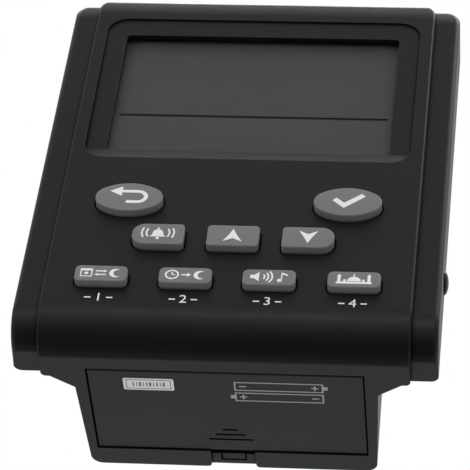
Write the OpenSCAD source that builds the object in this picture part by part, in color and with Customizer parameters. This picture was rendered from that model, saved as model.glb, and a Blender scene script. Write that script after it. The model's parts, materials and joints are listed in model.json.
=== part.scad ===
// Desk clock with prayer-call alarms. A reclined housing in two moulded halves stands on
// its battery foot: rolled front lip, raised centre band, large display, nine keys,
// a side button, a speaker behind and a battery bay closed by a hinged door.
//
// Millimetres. X runs right as seen from the front, Y to the back, Z up, table at z = 0.
// The "face frame" has x right, y up the face from the lip's crease, z out of the face.
// The "base frame" has x right, y back from the lip's crease, z up.

/* [Housing] */
// Width over the two side wings
body_w = 100; // [99:0.5:103]
// Length of the face, from the lip's crease to its top edge
face_h = 128.7; // [127:0.1:131]
// Width of the raised centre band
band_w = 87.3; // [86.5:0.1:88.5]
// Height of the band above the wings
band_step = 1.65; // [1.2:0.05:1.8]
// Radius of the rolled front lip, which is also the front cover's depth
lip_r = 9.6; // [9.5:0.05:9.8]
// Angle by which the face leans back from upright
recline = 12; // [11:0.5:13]
// Depth of the rear cover behind the parting plane
back_d = 7.4; // [7.2:0.1:8]
// Wall thickness of both covers
wall = 2.2; // [2:0.1:2.3]

/* [Display] */
// Width of the display window
window_w = 70; // [66:0.5:70]
// Height of the display window
window_h = 46.6; // [44:0.2:46.8]
// Lower edge of the window, up the face
window_y = 67.7; // [67.4:0.1:68.2]
// Depth of the recess below the window
recess_d = 1.2; // [0.8:0.1:1.4]
// Depth of the recess at its upper end
recess_top_d = 0.45; // [0.3:0.05:0.8]

/* [Keys] */
// Height of the key tops above the face
key_rise = 2.2; // [1.4:0.1:2.4]
// Stroke of each key
key_travel = 0.8; // [0.5:0.1:0.8]
// Gap between a key and its hole
key_gap = 0.35; // [0.25:0.05:0.45]
// Length of the small keys
key_w = 12.4; // [11.5:0.1:12.8]
// Length of the two oval keys
oval_w = 16.4; // [15:0.2:17]

/* [Side button] */
// Diameter of the button in the right side
side_d = 5.8; // [5:0.1:6.2]
// How far the button stands out
side_rise = 1.1; // [0.9:0.1:1.6]

/* [Foot and battery bay] */
// Depth of the foot, from the lip's crease to its rear edge
foot_d = 43.2; // [43:0.1:45]
// Width of the foot where it leaves the back
foot_w = 71.5; // [71:0.1:73]
// Height of the foot's upright rear wall
foot_wall_h = 28; // [27:0.5:30]
// Clear length of the bay for two AA cells side by side
bay_w = 62; // [61.6:0.1:62.2]
// Clear width of the bay
bay_d = 29.6; // [29.4:0.1:29.8]
// Clear height of the bay above the door
bay_h = 15.4; // [15.2:0.1:15.8]
// Thickness of the battery door
door_t = 1.8; // [1.6:0.1:1.9]

/* [Speaker] */
// Diameter of the speaker's rim
speaker_d = 36; // [34:0.5:36.5]
// Number of slots in the speaker grille
grille_slots = 7; // [5:2:9]

/* [Hidden] */
$fn = 64;

// Colours
shell_black = [0.13, 0.13, 0.135];
button_black = [0.05, 0.05, 0.05];
key_grey = [0.47, 0.47, 0.48];
board_green = [0.08, 0.3, 0.16];
steel = [0.72, 0.72, 0.72];

// Where the frames meet
crease_y = -(foot_d - lip_r * (1 - sin(recline))) / 2;
back_z = -(lip_r + back_d);
wing_lift = band_step * cos(recline);
reach = 200;

// Edges of the covers
wing_edge = 1.5;
band_edge = 0.7;
top_edge = 1.4;
top_corner_r = 3.6;
back_edge = 2;

// Display stack, as depths below the face
recess_w = 80.6;
recess_low = window_y - 4.4;
recess_high = window_y + window_h + 6.4;
recess_r = 5.5;
window_mid = window_y + window_h / 2;
lens_z = -wall - 0.85;
lens_t = 0.8;
lcd_z = lens_z - 0.05;
glass_t = 1.25;
board_z = -8;
board_t = 1;
board_x = 38.5;
frame_low = window_y - 7.4;
frame_high = window_y + window_h + 3.8;
rib_t = 1.2;

// Keys: centre, outline; row pitches follow the key length
row_1_y = 45.4;
row_2_y = 31.75;
row_3_y = 16.9;
row_1_x = 26.4;
row_2_x = 17.9;
row_3_x = [29.75, 9.85];
row_2_h = 7.4;
row_3_h = 5.4;
oval_h = 10.4;
oval_end_r = 3.8;
flange_t = 0.9;
flange_grow = 1;
flange_z = -wall - 0.15;
post_z = flange_z - flange_t - 1.05;
mat_t = 0.8;
dome_z = post_z - key_travel - 0.1;

// Side button, its switch behind the main board's right edge
side_y = 31;
side_z = -10.6;
side_gap = 0.3;
side_travel = 0.6;
switch_x = 38.5;
plunger_r = 1.3;
plunger_end = switch_x - 1.2;

// Foot
foot_rear_w = foot_w - 2;
foot_corner_r = 3;
plateau_d = 4.2;
plateau_flare = 5.7;
plateau_z = back_z - plateau_d;
plateau_top = 88;
slope_top_y = 80;
slope_foot = [foot_d - 0.9, foot_wall_h];
slope_head = base_of(slope_top_y, plateau_z);
slope_run = slope_head - slope_foot;
slope_lean = atan(-slope_run[0] / slope_run[1]);
slope_mid = slope_foot + slope_run * 0.52;

// Battery bay and its door
door_lift = 0.3;
door_w = 64.8;
door_front = 4.6;
door_rear = 36.4;
door_gap = 0.4;
door_top = door_lift + door_t;
hinge_r = door_t / 2;
hinge_y = door_front + hinge_r;
hinge_z = door_lift + hinge_r;
bay_front = door_front + 1.6;
bay_floor = door_top + 0.05;
bay_wall = 1.4;
bay_corner = 1.2;
cell_y = [bay_front + bay_d / 4, bay_front + bay_d * 3 / 4];
cell_z = bay_floor + bay_h / 2;
tab_x = 18;
tab_w = 8;
notch_w = 10.8;
notch_relief = 1;
latch_w = 5.4;
latch_t = 0.7;
latch_span = 3;
latch_y = door_rear + 0.35;
latch_low = door_lift + 0.8;
latch_top = 4.7;
pocket_top = latch_top + 0.35;

// Contacts
plate_t = 0.4;
plate_x = bay_w / 2 - plate_t;
spring_wire = 0.7;
spring_turns = 3;
spring_r = [4.2, 2.5];
spring_len = 5;
spring_steps = 8;

// Speaker
rim_t = 1;
gasket_t = 0.6;
magnet_d = 18;
magnet_t = 5;
magnet_top = 6.4;
basket_t = 0.8;
basket_rim_r = speaker_d / 2 - 3.2;
screw_pitch_r = speaker_d / 2 + 2.6;

// Screws
corner_inset = 5.8;
corner_screw_x = body_w / 2 - corner_inset;
corner_boss_r = corner_inset - wall + 0.4;
corner_screw_y = [15, face_h - 9.6];
screw_seat_z = -(lip_r + 3);
board_screw_at = [[36.2, 8.8], [36.2, 56.5], [36.2, 122]];

// Routes of the leads in the base frame, soldered ends first and last
red_route = [[-30.8, 28.4, 20], [-31, 28, 23], [-30, 26, 29], [-27, 23, 37], [-23, 19.5, 43],
    [-20, 18.6, 47.2]];
black_route = [[-30.8, 13.6, 20], [-31, 14.5, 23], [-29, 17, 30], [-24, 18, 37],
    [-19, 17.5, 41.5], [-17, 17.9, 44.2]];
speaker_route_a = [[13, 27.6, 50.9], [15.2, 25, 54], [16.6, 21, 58.5], [16, 17.2, 61.7]];
speaker_route_b = [[11.9, 26.2, 55.6], [12.4, 23.6, 58.6], [13, 20.6, 61.2], [13, 17.3, 62.4]];

// A face-frame point (up the face, out of the face) as (back, up) in the base frame
function base_of(y, z) = [
    y * sin(recline) - (z + lip_r) * cos(recline),
    y * cos(recline) + (z + lip_r) * sin(recline)];

// Inner radius of the speaker's conical basket at a depth behind its mounting face
function basket_r(z) = basket_rim_r + (magnet_d / 2 + 0.6 - basket_rim_r)
    * (z - gasket_t) / (magnet_top - basket_t - gasket_t);

// ---------- frames ----------

module on_base() translate([0, crease_y, 0]) children();

module on_face() on_base() rotate([90 - recline, 0, 0]) translate([0, 0, lip_r]) children();

// Centre of the foot's sloping wall: z out of the wall, y up it
module on_slope() on_base() translate([0, slope_mid[0], slope_mid[1]])
    rotate([90 - slope_lean, 0, 180]) children();

// Draws a (y, z) outline and extrudes it along x
module along_x(w) rotate([90, 0, 90]) linear_extrude(w, center = true) children();

// Draws an (x, z) outline and extrudes it from y0 to y1
module along_y(y0, y1) translate([0, y1, 0]) rotate([90, 0, 0])
    linear_extrude(y1 - y0) children();

module above_table(h) translate([-reach / 2, -reach / 2, h]) cube(reach);

// ---------- outlines ----------

module rounded_rect(w, h, r) {
    square([w - 2 * r, h], center = true);
    square([w, h - 2 * r], center = true);
    for (x = [-1, 1], y = [-1, 1]) translate([x * (w / 2 - r), y * (h / 2 - r)]) circle(r);
}

// Flat below, the two upper corners rounded
module bar_section(w, h, r) {
    translate([-w / 2, 0]) square([w, h - r]);
    translate([r - w / 2, 0]) square([w - 2 * r, h]);
    for (side = [-1, 1]) translate([side * (w / 2 - r), h - r]) circle(r);
}

// A rectangle whose left and right ends have their own corner radii
module ended_rect(w, h, r_left, r_right) {
    translate([r_left - w / 2, -h / 2]) square([w - r_left - r_right, h]);
    for (end = [[-1, r_left], [1, r_right]]) {
        x = end[0] * (w / 2 - end[1]);
        translate([x - end[1], end[1] - h / 2]) square([2 * end[1], h - 2 * end[1]]);
        for (y = [-1, 1]) translate([x, y * (h / 2 - end[1])]) circle(end[1]);
    }
}

// An oval of four tangent arcs, grown evenly by the given amount
module oval(w, h, end_r, grow) {
    run = w / 2 - end_r;
    flat_r = (run * run + h * h / 4 - end_r * end_r) / (h - 2 * end_r);
    meet = run * (flat_r + grow) / (flat_r - end_r);
    for (side = [-1, 1]) translate([side * run, 0]) circle(end_r + grow);
    intersection() {
        square([2 * meet, h + 2 * grow], center = true);
        translate([0, h / 2 - flat_r]) circle(flat_r + grow, $fn = 160);
        translate([0, flat_r - h / 2]) circle(flat_r + grow, $fn = 160);
    }
}

module key_outline(style, grow) {
    g = 2 * grow;
    if (style == "oval") oval(oval_w, oval_h, oval_end_r, grow);
    if (style == "left") ended_rect(key_w + g, row_2_h + g, 3.2 + grow, 1 + grow);
    if (style == "middle") ended_rect(key_w + g, row_2_h + g, 1 + grow, 1 + grow);
    if (style == "right") ended_rect(key_w + g, row_2_h + g, 1 + grow, 3.2 + grow);
    if (style == "low") ended_rect(key_w + g, row_3_h + g, 1.4 + grow, 1.4 + grow);
}

// Every key's hole, flange and dome come from this list: style, x, y
key_places = [
    ["oval", -row_1_x, row_1_y], ["oval", row_1_x, row_1_y],
    ["left", -row_2_x, row_2_y], ["middle", 0, row_2_y], ["right", row_2_x, row_2_y],
    ["low", -row_3_x[0], row_3_y], ["low", -row_3_x[1], row_3_y],
    ["low", row_3_x[1], row_3_y], ["low", row_3_x[0], row_3_y]];

// ---------- housing ----------

// A plate on z = 0 from y = low to high, its upper rim rounded at the sides and the high
// end, its two corners at the high end rounded in plan
module plate(w, low, high, h, side_r, end_r, corner_r) {
    intersection() {
        along_y(low, high) bar_section(w, h, side_r);
        along_x(w + 1) translate([high - reach / 2, 0]) bar_section(reach, h, end_r);
        union() {
            translate([0, high - reach / 2, 0]) linear_extrude(h) {
                square([w - 2 * corner_r, reach], center = true);
                translate([0, -corner_r]) square([w, reach], center = true);
            }
            for (x = [-1, 1]) translate([x * (w / 2 - corner_r), high - corner_r, 0])
                rotate_extrude() intersection() {
                    bar_section(2 * corner_r, h, side_r);
                    square([corner_r, h]);
                }
        }
    }
}

// One level of the front cover, filled down to the parting plane: the flat face that lies
// drop below the band, and its rolled lip
module cover_level(w, drop, high, side_r, end_r, corner_r) {
    r = lip_r - drop;
    translate([0, 0, -lip_r]) plate(w, lip_r, high, r, side_r, end_r, corner_r);
    translate([0, lip_r, -lip_r]) rotate(180, [1, 0, 1])
        rotate_extrude(angle = 90) rotate(-90) bar_section(w, r, side_r);
}

module cover_hollow() {
    cover_level(body_w - 2 * wall, band_step + wall, face_h - wall, 1, 1, 1.2);
    cover_level(band_w - 2 * wall, wall, face_h - wall, 1, 1, 1.2);
}

// The recess round the window: its floor deepens downwards, then ramps up to the face
module display_recess() {
    intersection() {
        translate([0, (recess_low + recess_high) / 2, -recess_d]) linear_extrude(recess_d + 1)
            rounded_rect(recess_w, recess_high - recess_low, recess_r);
        along_x(recess_w) polygon([[window_y, -recess_d], [recess_high, -recess_top_d],
            [recess_high, 1], [recess_low, 1], [recess_low, 0]]);
    }
    translate([0, window_mid, -wall - 1]) linear_extrude(wall + 1)
        rounded_rect(window_w, window_h, 1);
}

module side_button_hole() translate([0, side_y, side_z]) rotate([0, 90, 0])
    cylinder(h = reach, d = side_d + 2 * side_gap);

module front_cover() color(shell_black) on_face() difference() {
    union() {
        difference() {
            union() {
                cover_level(body_w, band_step, face_h, wing_edge, wing_edge, top_corner_r);
                cover_level(band_w, 0, face_h, band_edge, top_edge, top_corner_r);
            }
            cover_hollow();
        }
        for (x = [-1, 1]) {
            for (y = corner_screw_y) translate([x * corner_screw_x, y, -lip_r])
                cylinder(h = lip_r - band_step - wall + 0.5, d = 6);
            for (at = board_screw_at) translate([x * at[0], at[1], board_z])
                cylinder(h = -board_z - wall + 0.5, d = 4.6);
        }
        // Ribs that centre the display frame
        for (y = [frame_low - 0.1 - rib_t, frame_high + 0.1], x = [-20, 20])
            translate([x - 4, y, board_z + 1]) cube([8, rib_t, -board_z - wall - 0.5]);
    }
    display_recess();
    for (key = key_places) translate([key[1], key[2], -lip_r]) linear_extrude(lip_r + 1)
        key_outline(key[0], key_gap);
    side_button_hole();
    for (x = [-1, 1]) {
        for (y = corner_screw_y) translate([x * corner_screw_x, y, -lip_r - 1])
            cylinder(h = 5.5, d = 2.7);
        for (at = board_screw_at) translate([x * at[0], at[1], board_z - 1])
            cylinder(h = 5, d = 1.7);
    }
}

// Plan of the foot: a slight draft to the rear and two rounded rear corners
module foot_plan(w, rear_w, rear, r) {
    polygon([[-w / 2, 0], [w / 2, 0], [w / 2, 12], [rear_w / 2, rear - r],
        [rear_w / 2 - r, rear], [r - rear_w / 2, rear], [-rear_w / 2, rear - r],
        [-w / 2, 12]]);
    for (x = [-1, 1]) translate([x * (rear_w / 2 - r), rear - r]) circle(r);
}

// The foot between its plan and its side view: upright rear wall, then a straight slope
module foot_form(inset) {
    inner_head = slope_head - [inset, inset];
    intersection() {
        translate([0, 0, inset]) linear_extrude(reach)
            foot_plan(foot_w - 2 * inset, foot_rear_w - 2 * inset, foot_d - inset,
                foot_corner_r - inset / 2);
        along_x(reach) polygon([[5 + inset, 0], [foot_d - inset, 0],
            slope_foot - [inset, inset / 4], inner_head, [inner_head[0] - 10, inner_head[1]],
            [6 + inset / 2, 10]]);
    }
}

// The shallow plateau on the back, with sloping flanks, that the foot grows out of
module plateau(half_w, flare, depth, top) {
    intersection() {
        translate([0, 0, back_z - depth]) along_y(-5, top) polygon([[-half_w, 0], [half_w, 0],
            [half_w + flare, depth], [half_w + flare, depth + 3], [-half_w - flare, depth + 3],
            [-half_w - flare, depth]]);
        along_x(reach) polygon([[-5, back_z - depth], [top - 6, back_z - depth],
            [top, back_z], [top, back_z + 3], [-5, back_z + 3]]);
    }
}

// A flat slab behind the parting plane with rounded rear edges. It is cut level at the
// bottom, where its two corners meet those of the front cover.
module back_slab(w, depth, high, edge, corner_r, lift, foot_r) {
    low = lift / cos(recline);
    intersection() {
        on_face() translate([0, 0, -lip_r]) mirror([0, 0, 1]) intersection() {
            plate(w, low - 5, high, depth, edge, edge, corner_r);
            translate([0, low + reach / 2, 0]) linear_extrude(depth)
                rounded_rect(w, reach, foot_r);
        }
        above_table(lift);
    }
}

module rear_outer() {
    back_slab(body_w, back_d, face_h, back_edge, top_corner_r, wing_lift, wing_edge);
    back_slab(band_w - 0.4, back_d, face_h - 3, 1.2, 2, 0, band_edge);
    intersection() {
        on_face() plateau(foot_w / 2, plateau_flare, plateau_d, plateau_top);
        above_table(0);
    }
    on_base() foot_form(0);
}

module rear_hollow() {
    back_slab(body_w - 2 * wall, back_d - wall, face_h - wall, 0.8, 1, wing_lift + wall, 1);
    back_slab(band_w - 2 * wall, back_d - wall, face_h - wall, 0.8, 1, wall, 1);
    intersection() {
        on_face() plateau(foot_w / 2 - wall, 0, plateau_d + 0.01, plateau_top - 4);
        above_table(wall);
        on_face() translate([-reach / 2, 0, back_z - plateau_d + wall]) cube(reach);
    }
    on_base() foot_form(wall);
}

// The bay's outline in side view, standing on z = low
module bay_outline(grow, low) {
    translate([bay_front + bay_d / 2, low])
        bar_section(bay_d + 2 * grow, bay_floor + bay_h + grow - low, bay_corner + grow);
}

// Plan of the finger notch behind the door, its mouth flared at the rear edge
module notch_plan() {
    mouth_r = 1.1;
    translate([-notch_w / 2, door_rear]) square([notch_w, foot_d - door_rear + 1]);
    difference() {
        translate([-notch_w / 2 - mouth_r, foot_d - mouth_r])
            square([notch_w + 2 * mouth_r, 2]);
        for (x = [-1, 1]) translate([x * (notch_w / 2 + mouth_r), foot_d - mouth_r])
            circle(mouth_r);
    }
}

module grille_slot(len) {
    rounded_rect(len, 1.6, 0.7);
}

module rear_cover() color(shell_black) difference() {
    union() {
        difference() {
            rear_outer();
            rear_hollow();
        }
        // Box round the two cells, and the block that the door's latch sits in
        on_base() along_x(bay_w + 2 * wall + 1) bay_outline(bay_wall, wall / 2);
        on_base() translate([-notch_w / 2 - 1.6, door_rear - 1, wall / 2])
            cube([notch_w + 3.2, foot_d - wall / 2 - door_rear + 1, 5.2]);
        on_face() for (x = [-1, 1], y = corner_screw_y)
            translate([x * corner_screw_x, y, back_z + wall / 2])
                cylinder(h = back_d - wall / 2, r = corner_boss_r);
        // Ring and posts that hold the speaker
        on_slope() {
            translate([0, 0, -wall - 1.2]) difference() {
                cylinder(h = 1.7, d = speaker_d + 4);
                translate([0, 0, -1]) cylinder(h = 4, d = speaker_d - 4);
            }
            for (a = [90, 210, 330]) rotate(a) translate([screw_pitch_r, 0, -wall - 2.4])
                cylinder(h = 2.8, d = 3.6);
        }
    }
    on_base() {
        along_x(bay_w) bay_outline(0, -1);
        // Seat of the door
        translate([-door_w / 2 - door_gap, door_front - door_gap, -1])
            cube([door_w + 2 * door_gap, door_rear - door_front + 2 * door_gap, 1 + bay_floor]);
        for (x = [-1, 1]) translate([x * tab_x - tab_w / 2 - 0.5, bay_front - bay_wall - 0.1, 0])
            cube([tab_w + 1, bay_wall + 0.2, 5.7]);
        // Finger notch: a shallow relief, the latch's pocket and the slot for its tab
        translate([0, 0, -1]) linear_extrude(1 + notch_relief) notch_plan();
        translate([-notch_w / 2, door_rear, -1]) cube([notch_w, 2.6, 1 + pocket_top]);
        translate([-latch_w / 2 - 0.4, door_rear, -1]) cube([latch_w + 0.8, 5.3, 1 + pocket_top]);
        // Slits for the contacts' solder tabs
        for (y = cell_y) translate([-bay_w / 2 - 0.1, y - 1.8, bay_floor + bay_h - 1])
            cube([0.9, 3.6, 4]);
    }
    on_face() {
        side_button_hole();
        for (x = [-1, 1], y = corner_screw_y) translate([x * corner_screw_x, y, 0]) {
            translate([0, 0, back_z - 1]) cylinder(h = back_d, d = 3);
            translate([0, 0, back_z - 1]) cylinder(h = screw_seat_z - back_z + 1, d = 5.2);
            translate([0, 0, screw_seat_z - 1]) cylinder(h = 5, d = 3);
        }
    }
    on_slope() {
        for (i = [0 : grille_slots - 1]) {
            y = (i - (grille_slots - 1) / 2) * 3.6;
            half = sqrt(pow(speaker_d / 2 - 3, 2) - y * y);
            translate([0, y, -wall - 1]) linear_extrude(wall + 2) grille_slot(2 * half);
        }
        for (a = [90, 210, 330]) rotate(a) translate([screw_pitch_r, 0, -wall - 3])
            cylinder(h = 4, d = 1.5);
    }
}

// ---------- display ----------

module display_lens() color([0.2, 0.21, 0.22, 0.5]) on_face()
    translate([0, window_mid, lens_z]) linear_extrude(lens_t)
        rounded_rect(window_w + 5, window_h + 5, 1.5);

// Two glass sheets; the rear one reaches lower, where the zebra strip meets its ledge
module lcd_panel() color([0.3, 0.31, 0.31]) on_face() {
    translate([-37, window_y - 2.3, lcd_z - glass_t]) cube([74, window_h + 4.6, glass_t]);
    translate([-37, window_y - 5.6, lcd_z - 2 * glass_t]) cube([74, window_h + 7.9, glass_t]);
}

module lcd_frame() color([0.85, 0.85, 0.83]) on_face() difference() {
    translate([-board_x + 0.4, frame_low, board_z])
        cube([2 * board_x - 0.8, frame_high - frame_low, lcd_z - glass_t - board_z]);
    translate([-37.1, window_y - 5.7, board_z - 1]) cube([74.2, window_h + 8.1, 10]);
}

module backlight_panel() color([0.9, 0.92, 0.95]) on_face()
    translate([-36.8, window_y - 2, board_z]) cube([73.6, window_h + 4, 2.3]);

module zebra_strip() color([0.75, 0.35, 0.35]) on_face()
    translate([-34, window_y - 5.2, board_z])
        cube([68, 1.8, lcd_z - 2 * glass_t - board_z]);

// ---------- electronics ----------

module main_board() color(board_green) on_face() difference() {
    translate([0, 65.2, board_z - board_t]) linear_extrude(board_t)
        rounded_rect(2 * board_x, 117.4, 2);
    for (x = [-1, 1], at = board_screw_at) translate([x * at[0], at[1], board_z - 2])
        cylinder(h = 4, d = 2);
}

module chip_blob() color([0.04, 0.04, 0.04]) on_face()
    translate([6, 84, board_z - board_t]) intersection() {
        translate([0, 0, 8.6]) sphere(r = 10.9);
        mirror([0, 0, 1]) cylinder(h = 4, d = 16);
    }

module crystal_can() color(steel) on_face() translate([-14, 80, board_z - board_t - 1.1])
    rotate([90, 0, 0]) {
        cylinder(h = 6, d = 2.2);
        translate([0, 0, 6]) cylinder(h = 1.6, d = 0.8);
    }

module capacitors() color([0.1, 0.12, 0.3]) on_face()
    for (at = [[22, 76, 5], [29, 76, 5], [22, 68, 6.3]])
        translate([at[0], at[1], board_z - board_t]) mirror([0, 0, 1]) {
            cylinder(h = 1, d = at[2] - 0.6);
            translate([0, 0, 1]) cylinder(h = at[2] + 0.8, d = at[2]);
        }

// Two-way sockets for the battery and speaker leads
module board_sockets() color([0.92, 0.9, 0.85]) on_face()
    for (at = [[-18.5, 48], [14.5, 64]])
        translate([at[0] - 4, at[1] - 3, board_z - board_t]) mirror([0, 0, 1])
            difference() {
                cube([8, 6, 5]);
                translate([0.8, 0.8, 1.2]) cube([6.4, 4.4, 5]);
            }

module keypad_mat() color([0.55, 0.55, 0.53]) on_face() {
    translate([0, 32.4, board_z]) linear_extrude(mat_t) rounded_rect(69, 43, 3);
    for (key = key_places) translate([key[1], key[2], board_z + mat_t])
        cylinder(h = dome_z - board_z - mat_t, r1 = 3.3, r2 = 2.4);
}

module side_switch() color([0.12, 0.12, 0.12]) on_face() difference() {
    translate([switch_x - 4, side_y - 3, board_z - board_t - 3.4]) cube([4, 6, 3.4]);
    translate([plunger_end - side_travel - 0.4, side_y, side_z]) rotate([0, 90, 0])
        cylinder(h = 4, r = plunger_r + 0.08);
}

// ---------- keys ----------

// A moulded key: crowned cap above the face, flange behind it, post over its dome
module key_form(style) {
    hull() for (layer = [[flange_z - flange_t, 0], [key_rise - 0.4, -0.1],
            [key_rise - 0.12, -0.22], [key_rise, -0.45]])
        translate([0, 0, layer[0]]) linear_extrude(0.01) key_outline(style, layer[1], $fn = 32);
    translate([0, 0, flange_z - flange_t]) linear_extrude(flange_t)
        key_outline(style, flange_grow);
    translate([0, 0, post_z]) cylinder(h = flange_z - post_z, r = 2.1);
}

module key_at(i) color(key_grey) on_face()
    translate([key_places[i][1], key_places[i][2], 0]) key_form(key_places[i][0]);

module exit_key() key_at(0);
module set_key() key_at(1);
module alarm_key() key_at(2);
module up_key() key_at(3);
module down_key() key_at(4);
module calendar_key() key_at(5);
module iqamah_key() key_at(6);
module sound_key() key_at(7);
module azan_key() key_at(8);

// ---------- side button ----------

// Domed cap, flange inside the wall, stem to the switch
module side_button() color(button_black) on_face()
    translate([body_w / 2, side_y, side_z]) rotate([0, 90, 0]) rotate_extrude()
        polygon(concat([for (a = [0 : 10 : 90]) [side_d / 2 * sin(a), side_rise * cos(a)]],
            [[side_d / 2, -wall - 0.2], [side_d / 2 + 1.1, -wall - 0.2],
            [side_d / 2 + 1.1, -wall - 1], [1.4, -wall - 1], [1.4, -wall - 4.3],
            [0, -wall - 4.3]]));

module side_plunger() color([0.85, 0.84, 0.8]) on_face()
    translate([plunger_end, side_y, side_z]) rotate([0, 90, 0])
        cylinder(h = body_w / 2 - wall - 4.3 - plunger_end, r = plunger_r);

// ---------- speaker ----------

module on_speaker() on_slope() translate([0, 0, -wall - 1.2]) mirror([0, 0, 1]) children();

// Flat rim and conical basket, with its windows left out
module speaker_frame() color([0.5, 0.5, 0.52]) on_speaker() rotate_extrude()
    polygon([[speaker_d / 2, gasket_t], [speaker_d / 2, gasket_t + rim_t],
        [speaker_d / 2 - 3, gasket_t + rim_t], [magnet_d / 2 + 1, magnet_top],
        [magnet_d / 2 - 4.4, magnet_top], [magnet_d / 2 - 4.4, magnet_top - basket_t],
        [basket_r(magnet_top - basket_t), magnet_top - basket_t], [basket_rim_r, gasket_t]]);

module speaker_gasket() color([0.2, 0.2, 0.2]) on_speaker() difference() {
    cylinder(h = gasket_t, d = speaker_d);
    translate([0, 0, -1]) cylinder(h = 3, d = speaker_d - 6);
}

// Cone with a rolled surround and a domed cap
module speaker_cone() color([0.25, 0.23, 0.2]) on_speaker() rotate_extrude()
    polygon(concat([for (a = [0 : 15 : 90]) [4 * sin(a), 1.4 + 2.4 * (1 - cos(a))]],
        [[speaker_d / 2 - 5.4, 1.2], [speaker_d / 2 - 4.4, 0.7], [basket_rim_r, gasket_t],
        [basket_r(0.9), 0.9], [speaker_d / 2 - 4.4, 1],
        [speaker_d / 2 - 5.4, 1.6], [4, 4.2]],
        [for (a = [90 : -15 : 0]) [3.7 * sin(a), 1.7 + 2.4 * (1 - cos(a))]]));

module speaker_magnet() color([0.3, 0.3, 0.31]) on_speaker() translate([0, 0, magnet_top]) {
    cylinder(h = magnet_t, d = magnet_d);
    translate([0, 0, magnet_t]) cylinder(h = 1, d = magnet_d - 3);
}

// ---------- battery bay ----------

// The latch in side view: a springy U that stands up behind the door, and a finger tab
module latch_outline() {
    mid = latch_y + latch_span / 2;
    tab_y = latch_y + latch_span - 0.1;
    translate([door_rear - 0.1, latch_low]) square([0.6, door_top - latch_low]);
    difference() {
        translate([mid, latch_low]) bar_section(latch_span, latch_top - latch_low, 0.5);
        translate([mid, latch_low - 1])
            bar_section(latch_span - 2 * latch_t, latch_top - latch_low + 1 - latch_t, 0.3);
    }
    translate([tab_y, latch_low]) polygon([[0, 0], [1.7, 0], [1.7, 0.8], [1.2, 1.3], [0, 1.3]]);
}

// The door lies 0.3 above the table in its seat. Two hooked tabs reach over the lip and
// turn in slots; the rounded front edge is centred on the hinge axis.
module battery_door() color(shell_black) on_base() {
    difference() {
        union() {
            translate([-door_w / 2, hinge_y, door_lift])
                cube([door_w, door_rear - hinge_y, door_t]);
            translate([0, hinge_y, hinge_z]) rotate([0, 90, 0])
                cylinder(h = door_w, r = hinge_r, center = true);
        }
        for (i = [0 : 2]) translate([0, 28 + 2 * i, door_lift])
            cube([3.7 + 3.45 * i, 0.6, 0.9], center = true);
    }
    for (x = [-1, 1]) translate([x * tab_x, 0, 0]) along_x(tab_w) polygon([
        [bay_front - 0.1, door_top - 0.2], [bay_front - 0.1, 3.2], [bay_front - 0.4, 3.5],
        [2.6, 3.5], [2.2, 3.1], [2.2, 2.5], [door_front + 0.3, 2.5],
        [door_front + 0.5, door_top - 0.2]]);
    along_x(latch_w) latch_outline();
}

module contact_plate(side, y, w) translate([side * plate_x + (side < 0 ? -plate_t : 0),
        y - w / 2, cell_z - 5])
    cube([plate_t, w, 10]);

module battery_plates() color(steel) on_base() {
    for (y = cell_y) {
        contact_plate(-1, y, 10);
        translate([-bay_w / 2, y - 1.5, cell_z]) cube([plate_t, 3, 20.5 - cell_z]);
    }
    contact_plate(1, bay_front + bay_d / 2, 24.8);
    // Raised pips that meet the cells' plus ends
    translate([-plate_x, cell_y[1], cell_z]) rotate([0, 90, 0]) cylinder(h = 0.8, r1 = 2.6, r2 = 1.6);
    translate([plate_x, cell_y[0], cell_z]) rotate([0, -90, 0])
        cylinder(h = 0.8, r1 = 2.6, r2 = 1.6);
}

// Centre line of a conical spring along +x
function spring_point(i) =
    let (t = i / (spring_turns * spring_steps), a = 360 * i / spring_steps,
        r = spring_r[0] + (spring_r[1] - spring_r[0]) * t)
    [spring_wire / 2 + (spring_len - spring_wire) * t, r * cos(a), r * sin(a)];

spring_path = [for (i = [0 : spring_turns * spring_steps]) spring_point(i)];
spring_gap = min([for (i = [0 : len(spring_path) - 1], j = [0 : len(spring_path) - 1])
    if (j - i > spring_steps / 2) norm(spring_path[j] - spring_path[i])]) - spring_wire;
echo(battery_spring_least_gap = spring_gap);

module battery_springs() color(steel) on_base() {
    translate([-plate_x, cell_y[0], cell_z]) wire(spring_path, spring_wire, 6);
    translate([plate_x, cell_y[1], cell_z]) rotate(180) wire(spring_path, spring_wire, 6);
}

// ---------- screws and leads ----------

module pan_screw(head_d, head_h, shank_d, shank_l) {
    difference() {
        mirror([0, 0, 1]) cylinder(h = head_h, d1 = head_d, d2 = head_d - 0.6);
        for (a = [0, 90]) rotate(a) translate([0, 0, -head_h])
            cube([head_d * 0.55, head_d * 0.16, head_h], center = true);
    }
    cylinder(h = shank_l, d = shank_d);
}

module housing_screws() color(steel) on_face()
    for (x = [-1, 1], y = corner_screw_y) translate([x * corner_screw_x, y, screw_seat_z])
        pan_screw(4.6, 1.6, 2.5, 7);

module board_screws() color(steel) on_face()
    for (x = [-1, 1], at = board_screw_at)
        translate([x * at[0], at[1], board_z - board_t]) pan_screw(3.4, 1.1, 1.6, 4.4);

module speaker_screws() color(steel) on_slope() for (a = [90, 210, 330]) rotate(a)
    translate([screw_pitch_r, 0, -wall - 2.4]) pan_screw(3.8, 1.1, 1.4, 2);

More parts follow.
